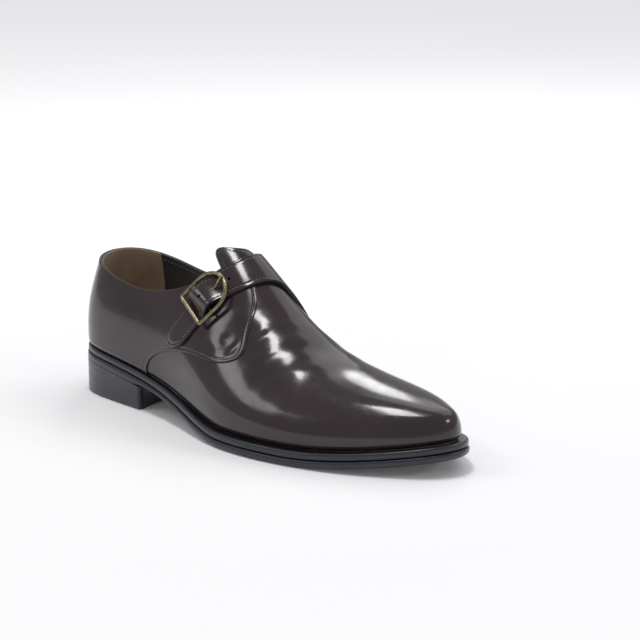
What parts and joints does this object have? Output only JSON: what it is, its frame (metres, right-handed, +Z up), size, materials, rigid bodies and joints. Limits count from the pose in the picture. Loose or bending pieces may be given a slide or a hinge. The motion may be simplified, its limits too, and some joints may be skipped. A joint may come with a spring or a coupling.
{
  "type": "monk strap shoe",
  "caption": "Plain-toe leather monk strap shoe for the right foot, with a hollow upper, a welted leather-look sole, a low block heel and a strap fastened by a metal buckle.",
  "frame": {"origin": "on the floor, under the middle of the shoe's bounding box", "axes": "+X from the heel to the toe, +Y towards the inner (medial) side, +Z up"},
  "size_m": [0.3, 0.1065, 0.107],
  "materials": {
    "upper_leather": "polished, very dark burgundy brown",
    "sole_leather": "black edge dye, satin",
    "insole_leather": "matte tan",
    "aged_brass": "antique, softly polished"
  },
  "bodies": {
    "root": {"outsole": "sole_leather", "heel": "sole_leather", "welt": "sole_leather", "insole": "insole_leather", "upper": "upper_leather", "tongue": "upper_leather", "strap": "upper_leather", "buckle_frame": "aged_brass", "buckle_prong": "aged_brass"}
  },
  "joints": []
}
